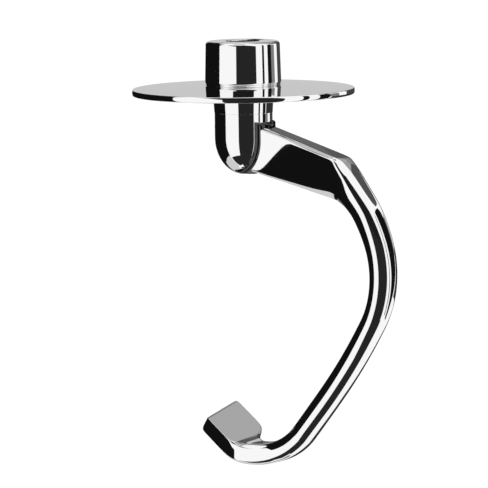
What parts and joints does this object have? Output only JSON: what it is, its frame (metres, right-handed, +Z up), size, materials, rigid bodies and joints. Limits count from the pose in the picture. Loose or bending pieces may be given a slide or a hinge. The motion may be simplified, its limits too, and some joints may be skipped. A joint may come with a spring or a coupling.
{
  "type": "dough hook",
  "caption": "Polished steel dough hook for a planetary stand mixer: shaft socket, guard disc, stem, flat arm and C-shaped bow ending in a flat paddle.",
  "frame": {"origin": "centre of the shaft socket's mouth, on the top face of the collar", "axes": "+Z points up along the mixer's shaft, out of the socket; the hook lies in the XZ plane with its bow on the +X side; the slot for the drive pin opens towards +Y"},
  "size_m": [0.1106, 0.084, 0.1605],
  "materials": {
    "turned_steel": "turned and mirror-polished stainless steel",
    "sheet_steel": "pressed and mirror-polished stainless sheet",
    "forged_steel": "forged bar, mirror-polished stainless steel",
    "weld_steel": "ground and polished weld"
  },
  "bodies": {
    "root": {"socket_collar": "turned_steel", "neck_ring": "turned_steel", "hook_stem": "turned_steel", "guard_disc": "sheet_steel", "hook_arm": "forged_steel", "arm_weld": "weld_steel", "collar_weld": "weld_steel"}
  },
  "joints": []
}
